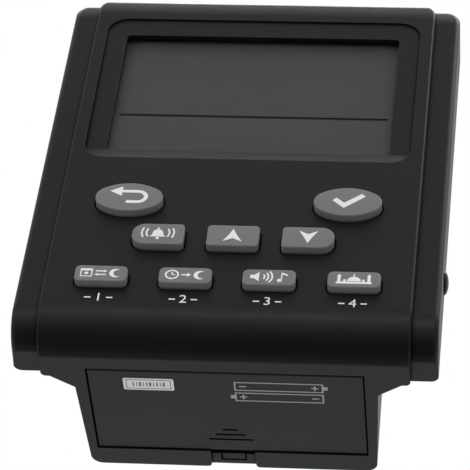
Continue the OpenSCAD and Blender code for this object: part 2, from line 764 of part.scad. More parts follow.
// A tube swept along points: one ring a point, square to the path
module wire(path, d, sides) {
    n = len(path);
    rings = [for (i = [0 : n - 1])
        let (t = path[min(i + 1, n - 1)] - path[max(i - 1, 0)], f = t / norm(t),
            s0 = cross(f, [0.3, 0.2, 0.93]), s = s0 / norm(s0), u = cross(s, f))
        [for (k = [0 : sides - 1]) path[i] + d / 2 * (cos(360 * k / sides) * s
            + sin(360 * k / sides) * u)]];
    polyhedron(
        points = [for (ring = rings) each ring],
        faces = concat(
            [[for (k = [0 : sides - 1]) k]],
            [for (i = [0 : n - 2], k = [0 : sides - 1]) let (a = i * sides, b = (k + 1) % sides)
                [a + k, a + sides + k, a + sides + b]],
            [for (i = [0 : n - 2], k = [0 : sides - 1]) let (a = i * sides, b = (k + 1) % sides)
                [a + k, a + sides + b, a + b]],
            [[for (k = [sides - 1 : -1 : 0]) (n - 1) * sides + k]]));
}

// Smooth curve through a route's points
function curve(p, steps) = concat([for (i = [0 : len(p) - 2], s = [0 : steps - 1])
    let (t = s / steps, a = p[max(i - 1, 0)], b = p[i], c = p[i + 1], d = p[min(i + 2, len(p) - 1)])
    0.5 * (2 * b + (c - a) * t + (2 * a - 5 * b + 4 * c - d) * t * t
        + (3 * b - a - 3 * c + d) * t * t * t)], [p[len(p) - 1]]);

module battery_lead_red() color([0.75, 0.08, 0.06]) on_base()
    wire(curve(red_route, 4), 1.1, 8);
module battery_lead_black() color([0.05, 0.05, 0.05]) on_base()
    wire(curve(black_route, 4), 1.1, 8);
module speaker_leads() color([0.75, 0.7, 0.2]) on_base() {
    wire(curve(speaker_route_a, 4), 0.9, 8);
    wire(curve(speaker_route_b, 4), 0.9, 8);
}

front_cover();
rear_cover();
display_lens();
lcd_panel();
lcd_frame();
backlight_panel();
zebra_strip();
main_board();
chip_blob();
crystal_can();
capacitors();
board_sockets();
keypad_mat();
exit_key();
set_key();
alarm_key();
up_key();
down_key();
calendar_key();
iqamah_key();
sound_key();
azan_key();
side_button();
side_plunger();
side_switch();
speaker_frame();
speaker_cone();
speaker_magnet();
speaker_gasket();
battery_door();
battery_springs();
battery_plates();
housing_screws();
board_screws();
speaker_screws();
battery_lead_red();
battery_lead_black();
speaker_leads();
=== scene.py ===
# %% [markdown]
# # A prayer-time desk clock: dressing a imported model
# The clock arrives as finished solids, each one riding on the body that moves it.
# This lesson gives every surface its finish, and models by hand what the solids only
# stand in for: soft-edged keys, printed signs, a label, springs and leads.
# The first cell loads the solids and notes the box that nothing may grow out of.

# %% Load the frame
import json
import math

import bmesh
import bpy
from mathutils import Matrix, Vector


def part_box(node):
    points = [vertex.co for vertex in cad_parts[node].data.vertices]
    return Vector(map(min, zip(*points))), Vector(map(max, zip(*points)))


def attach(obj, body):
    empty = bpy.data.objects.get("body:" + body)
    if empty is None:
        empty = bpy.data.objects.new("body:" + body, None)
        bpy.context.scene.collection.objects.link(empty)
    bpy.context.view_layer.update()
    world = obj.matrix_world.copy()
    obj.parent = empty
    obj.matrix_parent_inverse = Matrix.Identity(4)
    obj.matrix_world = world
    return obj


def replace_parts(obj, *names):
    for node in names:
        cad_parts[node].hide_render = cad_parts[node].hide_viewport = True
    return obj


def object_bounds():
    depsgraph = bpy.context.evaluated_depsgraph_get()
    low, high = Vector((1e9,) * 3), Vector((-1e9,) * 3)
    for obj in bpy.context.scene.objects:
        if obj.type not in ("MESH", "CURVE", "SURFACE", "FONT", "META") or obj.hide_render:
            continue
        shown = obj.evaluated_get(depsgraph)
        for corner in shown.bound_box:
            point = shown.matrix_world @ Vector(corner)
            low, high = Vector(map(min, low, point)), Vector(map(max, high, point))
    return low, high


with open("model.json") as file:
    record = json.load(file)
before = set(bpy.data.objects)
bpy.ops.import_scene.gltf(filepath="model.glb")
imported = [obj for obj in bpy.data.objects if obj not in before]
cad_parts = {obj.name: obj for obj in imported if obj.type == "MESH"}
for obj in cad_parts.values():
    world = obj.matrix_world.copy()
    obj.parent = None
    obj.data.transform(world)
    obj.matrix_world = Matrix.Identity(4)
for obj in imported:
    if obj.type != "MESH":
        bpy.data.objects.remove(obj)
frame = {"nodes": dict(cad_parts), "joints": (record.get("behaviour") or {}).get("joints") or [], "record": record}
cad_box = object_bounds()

nodes = frame["nodes"]

# %% [markdown]
# ## Axes to work in
# The face of the clock leans back, and every key travels square to it. So the axis of
# a key's joint gives the lean, and the front cover's own reach gives the origin: x runs
# right, y runs up the face from the lip's crease, and z comes out of the face. Drawing
# flat in these axes and seating the mesh at the end is easier than modelling tilted.

# %% The face's axes
mm = 0.001
exit_press = next(j for j in frame["joints"] if j["name"] == "exit_press")
OUT = -Vector(exit_press["axis"])
ACROSS = Vector((1, 0, 0))
UP_FACE = OUT.cross(ACROSS)


def reach(node, direction):
    """Lowest and highest reach of a node along a direction, in metres."""
    along = [v.co.dot(direction) for v in nodes[node].data.vertices]
    return min(along), max(along)


face_level = reach("front_cover", OUT)[1]
face_foot = reach("front_cover", UP_FACE)[0]
cover_depth = face_level - reach("front_cover", OUT)[0]
origin = OUT * face_level + UP_FACE * face_foot
FACE = Matrix((ACROSS, UP_FACE, OUT)).transposed().to_4x4()
FACE.translation = origin
crease = FACE @ Vector((0, 0, -cover_depth))


def on_face(node):
    """Centre and size of a node's outline on the face, and its lowest and highest level."""
    spans = [reach(node, axis) for axis in (ACROSS, UP_FACE, OUT)]
    spans = [(low - origin.dot(axis), high - origin.dot(axis))
             for (low, high), axis in zip(spans, (ACROSS, UP_FACE, OUT))]
    centre = [(low + high) / 2 for low, high in spans[:2]]
    size = [high - low for low, high in spans[:2]]
    return centre, size, spans[2]


print("face leans", round(math.degrees(math.asin(OUT.z)), 1), "degrees; crease at", crease)

# %% [markdown]
# ## The camera
# The photograph looks up at the clock from below the table line and a little from the
# right, through a long lens. A camera set at that place, turned towards a point inside
# the housing and rolled a few degrees, gives the same view. The rest is left at rest:
# no shift and no depth of field.

# %% Set the camera
camera_at = Vector((80.0, -643.4, -452.9)) * mm
aim_at = Vector((-2.71, 2.46, 53.3)) * mm
camera_roll = math.radians(5.86)

camera_data = bpy.data.cameras.new("view")
camera_data.lens = 256.1
camera = bpy.data.objects.new("view", camera_data)
bpy.context.collection.objects.link(camera)
bpy.context.scene.camera = camera
camera.location = camera_at
camera.rotation_mode = "QUATERNION"
look = (aim_at - camera_at).to_track_quat("-Z", "Y")
camera.rotation_quaternion = look @ Matrix.Rotation(camera_roll, 3, "Z").to_quaternion()
camera_data.clip_start = 0.01
bpy.context.scene.view_settings.view_transform = "Standard"
print("camera", round((aim_at - camera_at).length / mm), "mm from the clock")

# %% [markdown]
# ## Studio
# A product table is a white sweep with large soft lamps. The world is white where the
# camera, a gloss or a glass looks at it, and a plain grey where it only lights the
# clock, so black plastic stays black. A floor seen from below would hide the clock, so
# its material lets go of every ray that meets its back, and only the camera sees it.
# Both are made of shader nodes, which a few short helpers add, set and link.

# %% Node helpers
def new_tree(owner):
    """An empty node tree on a material or world."""
    owner.use_nodes = True
    tree = owner.node_tree
    tree.nodes.clear()
    return tree


def add(tree, kind, **values):
    """A node of a kind, with its properties and then its named sockets set."""
    node = tree.nodes.new(kind)
    for key, value in values.items():
        if hasattr(node, key):
            setattr(node, key, value)
        else:
            node.inputs[key].default_value = value
    return node


def wire_up(tree, *links):
    """Each link is (node, output, node, input)."""
    for a, out, b, into in links:
        tree.links.new(a.outputs[out], b.inputs[into])


def maths(tree, operation, *values):
    """A Math node; a value is a number or a (node, output) pair."""
    node = add(tree, "ShaderNodeMath", operation=operation)
    for i, value in enumerate(values):
        if isinstance(value, tuple):
            tree.links.new(value[0].outputs[value[1]], node.inputs[i])
        else:
            node.inputs[i].default_value = value
    return node


# %% White world and sweep
FLOOR_R = 0.7
FADE_FROM, FADE_TO = 0.25, 0.68


def make_world():
    world = bpy.data.worlds.new("studio")
    tree = new_tree(world)
    rays = add(tree, "ShaderNodeLightPath")
    seen = maths(tree, "MAXIMUM", (rays, "Is Camera Ray"), (rays, "Is Transmission Ray"))
    seen = maths(tree, "MAXIMUM", (seen, 0), (rays, "Is Glossy Ray"))
    tone = add(tree, "ShaderNodeMix", data_type="RGBA")
    tone.inputs["A"].default_value = (0.6, 0.6, 0.6, 1)
    tone.inputs["B"].default_value = (1, 1, 1, 1)
    glow = add(tree, "ShaderNodeBackground", Strength=1.0)
    out = add(tree, "ShaderNodeOutputWorld")
    wire_up(tree, (seen, 0, tone, "Factor"), (tone, "Result", glow, "Color"),
            (glow, 0, out, 0))
    bpy.context.scene.world = world


def make_floor():
    """A white sweep that fades into the white world."""
    bpy.ops.object.select_all(action="DESELECT")
    bpy.ops.mesh.primitive_circle_add(vertices=64, radius=FLOOR_R, fill_type="NGON")
    floor = bpy.context.object
    floor.name = "floor"
    paper = bpy.data.materials.new("white_sweep")
    tree = new_tree(paper)
    place = add(tree, "ShaderNodeTexCoord")
    far = add(tree, "ShaderNodeVectorMath", operation="LENGTH")
    fade = add(tree, "ShaderNodeMapRange", interpolation_type="SMOOTHSTEP")
    fade.inputs["From Min"].default_value = FADE_FROM
    fade.inputs["From Max"].default_value = FADE_TO
    fade.inputs["To Min"].default_value = 1.0
    fade.inputs["To Max"].default_value = 0.0
    side = add(tree, "ShaderNodeNewGeometry")
    rays = add(tree, "ShaderNodeLightPath")
    front = maths(tree, "SUBTRACT", 1.0, (side, "Backfacing"))
    shown = maths(tree, "MULTIPLY", (front, 0), (rays, "Is Camera Ray"))
    shown = maths(tree, "MULTIPLY", (shown, 0), (fade, 0))
    sheet = add(tree, "ShaderNodeBsdfDiffuse", Color=(0.93, 0.93, 0.93, 1))
    clear = add(tree, "ShaderNodeBsdfTransparent")
    mix = add(tree, "ShaderNodeMixShader")
    out = add(tree, "ShaderNodeOutputMaterial")
    wire_up(tree, (place, "Object", far, 0), (far, "Value", fade, 0),
            (shown, 0, mix, 0), (clear, 0, mix, 1), (sheet, 0, mix, 2), (mix, 0, out, 0))
    floor.data.materials.append(paper)
    floor.visible_shadow = False


make_world()
make_floor()
print("sweep fades out", FADE_TO, "m from the clock")

# %% [markdown]
# ## Cloth and lamps
# Glossy black shows what it mirrors more than what lights it. Below the camera hangs a
# black cloth, as in any studio that shoots it: only the rolled lip, which faces the
# cloth, mirrors it and turns darker than the face above. A long strip in front lights
# nothing but gloss, and draws a soft line along the top of the lip. The other lamps are
# softboxes at an offset from the clock's middle.

# %% Hang the cloth and the lamps
middle = (cad_box[0] + cad_box[1]) / 2


def make_drape(at, size):
    """A black cloth that faces the clock and shows in its gloss alone."""
    bpy.ops.object.select_all(action="DESELECT")
    bpy.ops.mesh.primitive_plane_add(size=size)
    drape = bpy.context.object
    drape.name = "black_drape"
    drape.rotation_mode = "QUATERNION"
    drape.rotation_quaternion = (middle - at).to_track_quat("Z", "Y")
    drape.location = at
    cloth = bpy.data.materials.new("black_cloth")
    tree = new_tree(cloth)
    weave = add(tree, "ShaderNodeTexNoise", Scale=900.0)
    dark = add(tree, "ShaderNodeMix", data_type="RGBA")
    dark.inputs["A"].default_value = (0.004, 0.004, 0.004, 1)
    dark.inputs["B"].default_value = (0.012, 0.012, 0.013, 1)
    sheet = add(tree, "ShaderNodeBsdfDiffuse")
    out = add(tree, "ShaderNodeOutputMaterial")
    wire_up(tree, (weave, "Fac", dark, "Factor"), (dark, "Result", sheet, 0), (sheet, 0, out, 0))
    drape.data.materials.append(cloth)
    for ray in ("camera", "diffuse", "transmission", "volume_scatter", "shadow"):
        setattr(drape, "visible_" + ray, False)


def softbox(name, offset, width, height, power):
    """A rectangular lamp at an offset from the clock's middle, turned towards it."""
    lamp = bpy.data.lights.new(name, "AREA")
    lamp.shape = "RECTANGLE"
    lamp.size, lamp.size_y = width, height
    lamp.energy = power
    holder = bpy.data.objects.new(name, lamp)
    bpy.context.collection.objects.link(holder)
    holder.location = middle + Vector(offset)
    holder.rotation_mode = "QUATERNION"
    holder.rotation_quaternion = (-Vector(offset)).to_track_quat("-Z", "Y")
    return holder


make_drape(middle + Vector((0.05, -0.36, -0.9)), size=1.5)
softbox("top_light", (0.0, 0.18, 0.53), width=0.5, height=0.2, power=3.0)
strip = softbox("front_strip", (0.0, -0.85, 0.25), width=0.9, height=0.16, power=3.5)
strip.visible_diffuse = False
softbox("right_light", (0.4, -0.55, 0.1), width=0.25, height=0.4, power=0.45)
softbox("left_fill", (-0.45, -0.5, 0.1), width=0.25, height=0.4, power=0.9)
softbox("edge_light", (0.35, 0.02, 0.5), width=0.15, height=0.3, power=0.7)
softbox("table_bounce", (-0.06, 0.5, -0.36), width=0.6, height=0.4, power=0.4)
print("stage set round", tuple(round(c, 3) for c in middle))

# %% [markdown]
# ## Shared effects
# Injection-moulded plastic is never one flat tone: the mould's eroded skin breaks up
# the light, and resin flow leaves faint clouds. Two more effects paint light into the
# colour: a painted highlight on edges and corners, and painted shade in gaps and inner
# corners. Each effect is a node group that puts out only values, so that any material
# can take it with its own numbers, and its shader stays outside.

# %% Skin, painted edge highlight and painted shade in gaps
def new_group(name, inputs, outputs):
    """A shader node group with float sockets: inputs as {name: default}."""
    group = bpy.data.node_groups.new(name, "ShaderNodeTree")
    for label, value in inputs.items():
        socket = group.interface.new_socket(label, in_out="INPUT", socket_type="NodeSocketFloat")
        socket.default_value = value
    for label in outputs:
        group.interface.new_socket(label, in_out="OUTPUT", socket_type="NodeSocketFloat")
    return group, group.nodes.new("NodeGroupInput"), group.nodes.new("NodeGroupOutput")


def make_moulded_skin():
    """Fine eroded grain as Height, and slow clouds as Tone and Roughness round 1."""
    group, given, put = new_group(
        "moulded_skin", {"Grain Scale": 4000, "Clouds": 0.1}, ["Tone", "Roughness", "Height"])
    place = add(group, "ShaderNodeTexCoord")
    grain = add(group, "ShaderNodeTexNoise", Detail=3.0, Roughness=0.6)
    flow = add(group, "ShaderNodeTexNoise", Scale=60.0, Detail=3.0)
    centred = maths(group, "SUBTRACT", (flow, "Fac"), 0.5)
    swing = maths(group, "MULTIPLY", (centred, 0), (given, "Clouds"))
    tone = maths(group, "ADD", (swing, 0), 1.0)
    rough = maths(group, "SUBTRACT", 1.0, (swing, 0))
    wire_up(group, (place, "Object", grain, "Vector"), (place, "Object", flow, "Vector"),
            (given, "Grain Scale", grain, "Scale"), (grain, "Fac", put, "Height"),
            (tone, 0, put, "Tone"), (rough, 0, put, "Roughness"))
    return group


def make_rubbed_edge():
    """A normal that rounds edges off, and a Mask of 1 on corners, 0 on flats: how far it has
    left the true one. The Mask paints a highlight on edges and corners."""
    group, given, put = new_group("painted_edge_highlight", {"Radius": 0.0003}, ["Mask"])
    group.interface.new_socket("Normal", in_out="OUTPUT", socket_type="NodeSocketVector")
    round_off = add(group, "ShaderNodeBevel", samples=6)
    true = add(group, "ShaderNodeNewGeometry")
    dot = add(group, "ShaderNodeVectorMath", operation="DOT_PRODUCT")
    mask = add(group, "ShaderNodeMapRange")
    mask.inputs["From Min"].default_value = 0.995
    mask.inputs["From Max"].default_value = 0.8
    wire_up(group, (given, "Radius", round_off, "Radius"), (round_off, 0, dot, 0),
            (true, "Normal", dot, 1), (dot, "Value", mask, 0), (mask, 0, put, "Mask"),
            (round_off, 0, put, "Normal"))
    return group


def make_crevice():
    """1 in the open, towards 0 in gaps and inner corners: it paints shade there, darkening colour and gloss."""
    group, given, put = new_group("crevice_shade", {"Reach": 0.0008, "Power": 1.5}, ["Open"])
    around = add(group, "ShaderNodeAmbientOcclusion", samples=6)
    deeper = maths(group, "POWER", (around, "AO"), (given, "Power"))
    wire_up(group, (given, "Reach", around, "Distance"), (deeper, 0, put, "Open"))
    return group


skin = make_moulded_skin()
# The next group paints a highlight on edges and corners; its normal only rounds them.
edge_highlight = make_rubbed_edge()
# The next group paints shade in gaps and inner corners.
crevice_shade = make_crevice()
print("effects of plastic:", [g.name for g in bpy.data.node_groups])

# %% [markdown]
# ## Crown, metal and grains
# Towards the top of the housing the light slides off, as over a slow crown. The solid
# is flat there, so a bump leans its normals back more and more. Sheet metal and wire
# carry long marks from rolling and drawing, and paper, foam and ferrite have grains.

# %% Crown, drawn metal and speckle
def make_soft_crown():
    """Height, in metres, of a surface that leans back more and more towards the top edge
    of the housing, as a mould's slow crown does."""
    group, given, put = new_group("soft_crown", {"Span": 0.006, "Tilt": 0.3}, ["Height"])
    place = add(group, "ShaderNodeTexCoord")
    up = add(group, "ShaderNodeVectorMath", operation="DOT_PRODUCT")
    up.inputs[1].default_value = UP_FACE
    start = maths(group, "SUBTRACT", reach("front_cover", UP_FACE)[1], (given, "Span"))
    past = maths(group, "SUBTRACT", (up, "Value"), (start, 0))
    past = maths(group, "MAXIMUM", (past, 0), 0.0)
    square = maths(group, "MULTIPLY", (past, 0), (past, 0))
    bend = maths(group, "DIVIDE", (given, "Tilt"), (given, "Span"))
    fall = maths(group, "MULTIPLY", (square, 0), (bend, 0))
    fall = maths(group, "MULTIPLY", (fall, 0), -0.5)
    wire_up(group, (place, "Object", up, 0), (fall, 0, put, "Height"))
    return group


def make_drawn_metal():
    """Long fine marks along x as Height, and their tone round 1."""
    group, given, put = new_group("drawn_metal", {"Marks Scale": 900, "Depth": 0.2},
                                  ["Tone", "Height"])
    place = add(group, "ShaderNodeTexCoord")
    stretch = add(group, "ShaderNodeMapping")
    stretch.inputs["Scale"].default_value = (0.06, 1, 1)
    marks = add(group, "ShaderNodeTexNoise", Detail=4.0)
    centred = maths(group, "SUBTRACT", (marks, "Fac"), 0.5)
    swing = maths(group, "MULTIPLY", (centred, 0), (given, "Depth"))
    tone = maths(group, "ADD", (swing, 0), 1.0)
    wire_up(group, (place, "Object", stretch, 0), (stretch, 0, marks, "Vector"),
            (given, "Marks Scale", marks, "Scale"), (marks, "Fac", put, "Height"),
            (tone, 0, put, "Tone"))
    return group


def make_speckle():
    """Sparse grains as Mask, such as fibres in paper or filler in resin."""
    group, given, put = new_group("speckle", {"Grains Scale": 1500, "Share": 0.3}, ["Mask"])
    place = add(group, "ShaderNodeTexCoord")
    cells = add(group, "ShaderNodeTexVoronoi", feature="F1")
    mask = maths(group, "LESS_THAN", (cells, "Distance"), (given, "Share"))
    wire_up(group, (place, "Object", cells, "Vector"),
            (given, "Grains Scale", cells, "Scale"), (mask, 0, put, "Mask"))
    return group


crown = make_soft_crown()
drawn = make_drawn_metal()
speckle = make_speckle()
print("effects in all:", len(bpy.data.node_groups))

# %% [markdown]
# ## Finishes
# A plastic here is a base colour scaled by the skin's tone, with a painted highlight on
# edges and corners and painted shade in gaps, and the grain as a bump. The same function
# makes shell, keys, button, frames and insulation, each with its own numbers. Metals take
# the drawn marks, and a few surfaces that are their own thing, such as the display, the
# board and the paper cone, get their own.

# %% Material helpers
def effect(tree, group, **values):
    node = add(tree, "ShaderNodeGroup", node_tree=group)
    for key, value in values.items():
        node.inputs[key.replace("_", " ")].default_value = value
    return node


def start_material(name, roughness, metallic=0.0, specular=0.5):
    """A material with its shader, whose constant values sit on the shader's sockets."""
    material = bpy.data.materials.new(name)
    tree = new_tree(material)
    shader = add(tree, "ShaderNodeBsdfPrincipled", Roughness=roughness, Metallic=metallic)
    shader.inputs["Specular IOR Level"].default_value = specular
    out = add(tree, "ShaderNodeOutputMaterial")
    wire_up(tree, (shader, 0, out, 0))
    return material, tree, shader


def scaled_colour(tree, colour, source, output):
    """The colour times a value that varies over the surface."""
    mix = add(tree, "ShaderNodeMix", data_type="RGBA", blend_type="MULTIPLY")
    mix.inputs["Factor"].default_value = 1.0
    mix.inputs["A"].default_value = (*colour, 1)
    tree.links.new(source.outputs[output], mix.inputs["B"])
    return mix


def scaled_result(tree, base, source, output):
    """A mixed colour times a value."""
    mix = add(tree, "ShaderNodeMix", data_type="RGBA", blend_type="MULTIPLY")
    mix.inputs["Factor"].default_value = 1.0
    wire_up(tree, (base, "Result", mix, "A"), (source, output, mix, "B"))
    return mix


def blended(tree, mask, output, base, other):
    """From one colour output to a plain colour as the mask goes from 0 to 1."""
    mix = add(tree, "ShaderNodeMix", data_type="RGBA")
    mix.inputs["B"].default_value = (*other, 1)
    wire_up(tree, (mask, output, mix, "Factor"), (base, "Result", mix, "A"))
    return mix


def bump(tree, shader, source, strength, height, edges=None, tilt=0.0):
    """Relief from a Height, its full height in mm, on top of a rounded and crowned
    normal where asked for."""
    relief = add(tree, "ShaderNodeBump", Strength=strength, Distance=height * mm)
    wire_up(tree, (source, "Height", relief, "Height"), (relief, 0, shader, "Normal"))
    if tilt:
        lean = effect(tree, crown, Tilt=tilt)
        under = add(tree, "ShaderNodeBump", Strength=1.0, Distance=1.0)
        wire_up(tree, (lean, "Height", under, "Height"), (under, 0, relief, "Normal"))
        relief = under
    if edges:
        wire_up(tree, (edges, "Normal", relief, "Normal"))


# %% Plastic, metal and grained stuff
def plastic(name, colour, roughness=0.5, specular=0.5, grain=5000, depth=0.15,
            clouds=0.12, highlight_amount=0.25, shade_power=1.0, edge=0.3, tilt=0.0):
    """Moulded plastic or rubber: grain, clouds, a painted highlight on edges and corners
    within an edge width in mm, painted shade that darkens colour and gloss in gaps and inner
    corners, and the housing's crown, by its tilt at the top edge."""
    material, tree, shader = start_material(name, roughness, specular=specular)
    surface = effect(tree, skin, Grain_Scale=grain, Clouds=clouds)
    base = scaled_colour(tree, colour, surface, "Tone")
    # Painted highlight: edges and corners take a paler colour where the rounded normal leaves the true one.
    corners = effect(tree, edge_highlight, Radius=edge * mm)
    share = maths(tree, "MULTIPLY", (corners, "Mask"), highlight_amount)
    highlight_colour = [min(1.0, c * 1.8 + 0.02) for c in colour]
    base = blended(tree, share, 0, base, highlight_colour)
    # Painted shade: ambient occlusion darkens colour and gloss in gaps and inner corners.
    shade_mask = effect(tree, crevice_shade, Power=shade_power)
    base = scaled_result(tree, base, shade_mask, "Open")
    gloss = maths(tree, "MULTIPLY", (shade_mask, "Open"), specular)
    rough = maths(tree, "MULTIPLY", (surface, "Roughness"), roughness)
    wire_up(tree, (base, "Result", shader, "Base Color"), (rough, 0, shader, "Roughness"),
            (gloss, 0, shader, "Specular IOR Level"))
    bump(tree, shader, surface, depth, 0.02, corners, tilt)
    return material


def metal(name, colour, roughness=0.3, marks=1200, depth=0.3):
    """Drawn or rolled metal."""
    material, tree, shader = start_material(name, roughness, metallic=1.0)
    surface = effect(tree, drawn, Marks_Scale=marks, Depth=depth)
    base = scaled_colour(tree, colour, surface, "Tone")
    rough = maths(tree, "MULTIPLY", (surface, "Tone"), roughness)
    wire_up(tree, (base, "Result", shader, "Base Color"), (rough, 0, shader, "Roughness"))
    bump(tree, shader, surface, strength=0.2, height=0.02)
    return material


def grained(name, colour, grains, scale=1500, share=0.3, roughness=0.8, specular=0.3):
    """A matt stuff with grains or fibres of a second colour."""
    material, tree, shader = start_material(name, roughness, specular=specular)
    surface = effect(tree, skin, Grain_Scale=scale, Clouds=0.3)
    base = scaled_colour(tree, colour, surface, "Tone")
    spots = effect(tree, speckle, Grains_Scale=scale, Share=share)
    base = blended(tree, spots, "Mask", base, grains)
    wire_up(tree, (base, "Result", shader, "Base Color"))
    bump(tree, shader, surface, strength=0.4, height=0.05)
    return material


# %% [markdown]
# ## The finishes in use
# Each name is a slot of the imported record. The numbers come from the photograph where
# it shows the piece, and from the usual stuff of such a part where it doesn't.

# %% Make the finishes
finish = {
    # Shell and keys take more painted highlight on edges and more painted shade in gaps than the default; the
    # keys' rims take the most highlight.
    "shell": plastic("shell_black", (0.0062, 0.0062, 0.0065), 0.45, 0.12, highlight_amount=0.4, shade_power=2.0,
                     tilt=0.45),
    "key_plastic": plastic("key_grey", (0.162, 0.162, 0.165), 0.5, 0.3, highlight_amount=1.0, shade_power=1.8,
                           edge=0.5),
    "button_plastic": plastic("button_black", (0.003, 0.003, 0.003), 0.32, 0.1),
    "frame_plastic": plastic("frame_white", (0.7, 0.69, 0.66), 0.45),
    "light_guide": plastic("light_guide", (0.78, 0.8, 0.84), 0.25, grain=2500),
    "zebra_rubber": plastic("zebra_rubber", (0.5, 0.2, 0.2), 0.6),
    "mat_rubber": plastic("mat_rubber", (0.3, 0.3, 0.29), 0.7, 0.3),
    "epoxy": plastic("epoxy_blob", (0.01, 0.01, 0.011), 0.25, clouds=0.3),
    "socket_plastic": plastic("socket_plastic", (0.75, 0.72, 0.62), 0.4),
    "gasket": grained("foam_gasket", (0.03, 0.03, 0.032), (0.008, 0.008, 0.008), 2500, 0.35),
    "lead_red": plastic("lead_red", (0.5, 0.02, 0.015), 0.4),
    "lead_black": plastic("lead_black", (0.012, 0.012, 0.012), 0.4),
    "lead_yellow": plastic("lead_yellow", (0.55, 0.42, 0.03), 0.4),
    "magnet": grained("ferrite", (0.05, 0.05, 0.053), (0.09, 0.09, 0.09), 2200, 0.25),
    "cone_paper": grained("cone_paper", (0.05, 0.045, 0.04), (0.09, 0.08, 0.07), 1800, 0.2),
    "can_steel": metal("can_steel", (0.6, 0.6, 0.59), 0.25),
    "basket_steel": metal("basket_steel", (0.42, 0.42, 0.44), 0.4),
    "contact_steel": metal("nickel_plate", (0.68, 0.67, 0.63), 0.22, marks=700),
    "screw_steel": metal("screw_steel", (0.3, 0.3, 0.31), 0.35),
    "capacitor_sleeve": plastic("capacitor_sleeve", (0.02, 0.03, 0.12), 0.3),
}
print("finishes:", len(finish))

# %% [markdown]
# ## Display, board and print
# The display is two sheets of glass with a matt grey polariser on top, behind a thin
# smoked window. Real glass in front of it would starve it of light, so the window is a
# gloss with a small alpha: what lies behind shows through straight. The board is green
# lacquer over copper tracks, drawn by a brick pattern. Paint for the signs is a dense
# white that covers unevenly, as pad printing does.

# %% Special finishes
def make_window():
    material, tree, shader = start_material("smoked_window", 0.12, specular=0.25)
    surface = effect(tree, skin, Grain_Scale=2500, Clouds=0.15)
    base = scaled_colour(tree, (0.02, 0.021, 0.021), surface, "Tone")
    veil = maths(tree, "MULTIPLY", (surface, "Tone"), 0.1)
    wire_up(tree, (base, "Result", shader, "Base Color"), (veil, 0, shader, "Alpha"))
    return material


def make_polariser():
    """Matt grey film over the glass, with a faint fine grain."""
    material, tree, shader = start_material("lcd_polariser", 0.45, specular=0.2)
    surface = effect(tree, skin, Grain_Scale=6000, Clouds=0.06)
    base = scaled_colour(tree, (0.066, 0.067, 0.067), surface, "Tone")
    wire_up(tree, (base, "Result", shader, "Base Color"))
    bump(tree, shader, surface, strength=0.02, height=0.01)
    return material


def make_board():
    material, tree, shader = start_material("board_lacquer", 0.35, specular=0.5)
    place = add(tree, "ShaderNodeTexCoord")
    turn_flat = add(tree, "ShaderNodeMapping")
    turn_flat.inputs["Rotation"].default_value = (math.asin(OUT.z) - math.pi / 2, 0, 0)
    tracks = add(tree, "ShaderNodeTexBrick", Scale=140.0)
    for socket, value in {"Mortar Size": 0.04, "Mortar Smooth": 0.1, "Brick Width": 0.9,
                          "Row Height": 0.22}.items():
        tracks.inputs[socket].default_value = value
    tracks.inputs["Color1"].default_value = (0.012, 0.11, 0.045, 1)
    tracks.inputs["Color2"].default_value = (0.014, 0.13, 0.05, 1)
    tracks.inputs["Mortar"].default_value = (0.03, 0.2, 0.07, 1)
    relief = add(tree, "ShaderNodeBump", Strength=0.3, Distance=0.03 * mm)
    wire_up(tree, (place, "Object", turn_flat, 0), (turn_flat, 0, tracks, "Vector"),
            (tracks, "Color", shader, "Base Color"), (tracks, "Fac", relief, "Height"),
            (relief, 0, shader, "Normal"))
    return material


def make_paint(name, colour, roughness=0.45, specular=0.3):
    """Pad-printed ink: an even coat with a faint grain."""
    material, tree, shader = start_material(name, roughness, specular=specular)
    surface = effect(tree, skin, Grain_Scale=3500, Clouds=0.15)
    base = scaled_colour(tree, colour, surface, "Tone")
    wire_up(tree, (base, "Result", shader, "Base Color"))
    bump(tree, shader, surface, strength=0.2, height=0.01)
    return material


def make_foil():
    """A silvered paper label, faintly creased."""
    material, tree, shader = start_material("silver_label", 0.42, metallic=0.1, specular=0.5)
    surface = effect(tree, drawn, Marks_Scale=500, Depth=0.25)
    base = scaled_colour(tree, (0.62, 0.62, 0.61), surface, "Tone")
    wire_up(tree, (base, "Result", shader, "Base Color"))
    bump(tree, shader, surface, strength=0.3, height=0.03)
    return material


finish["lens"] = make_window()
finish["lcd_glass"] = make_polariser()
finish["board"] = make_board()
white_ink = make_paint("white_ink", (0.86, 0.86, 0.85))
black_ink = make_paint("black_ink", (0.002, 0.002, 0.002), 0.7, 0.03)
silver_label = make_foil()
print("special finishes made")

# %% [markdown]
# ## Finish on the solids
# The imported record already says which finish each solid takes, so its own slots are
# read and the material is put in the object's slots. The meshes aren't touched.

# %% Give each solid its finish
slot_of = {part["node"]: part["material_slot"] for part in frame["record"]["subparts"]}
for name, node in nodes.items():
    for holder in node.material_slots:
        holder.material = finish[slot_of[name]]
print("solids finished:", len(slot_of))

# %% [markdown]
# ## Modelling by hand
# Most new pieces start as a flat outline. By hand one would place a vertex, extrude it
# along the straight sides and spin it round each corner, then fill. These few helpers
# do just that in the face's axes. At the end a piece is seated: its mesh, not its
# object, moves to the face, so the object stays at the world's origin as solids do.

# %% Outlines by hand
WELD = 0.002 * mm


def clear_hands():
    """Object mode with nothing selected."""
    if bpy.context.mode != "OBJECT":
        bpy.ops.object.mode_set(mode="OBJECT")
    bpy.ops.object.select_all(action="DESELECT")


def first_point(name, x, y):
    """A new mesh of one vertex, open for modelling."""
    clear_hands()
    bpy.ops.mesh.primitive_plane_add(size=mm)
    piece = bpy.context.object
    piece.name = piece.data.name = name
    bpy.ops.object.mode_set(mode="EDIT")
    bpy.ops.mesh.select_mode(type="VERT")
    bpy.ops.mesh.select_all(action="SELECT")
    bpy.ops.mesh.merge(type="CENTER")
    bpy.ops.transform.translate(value=(x, y, 0))
    return piece


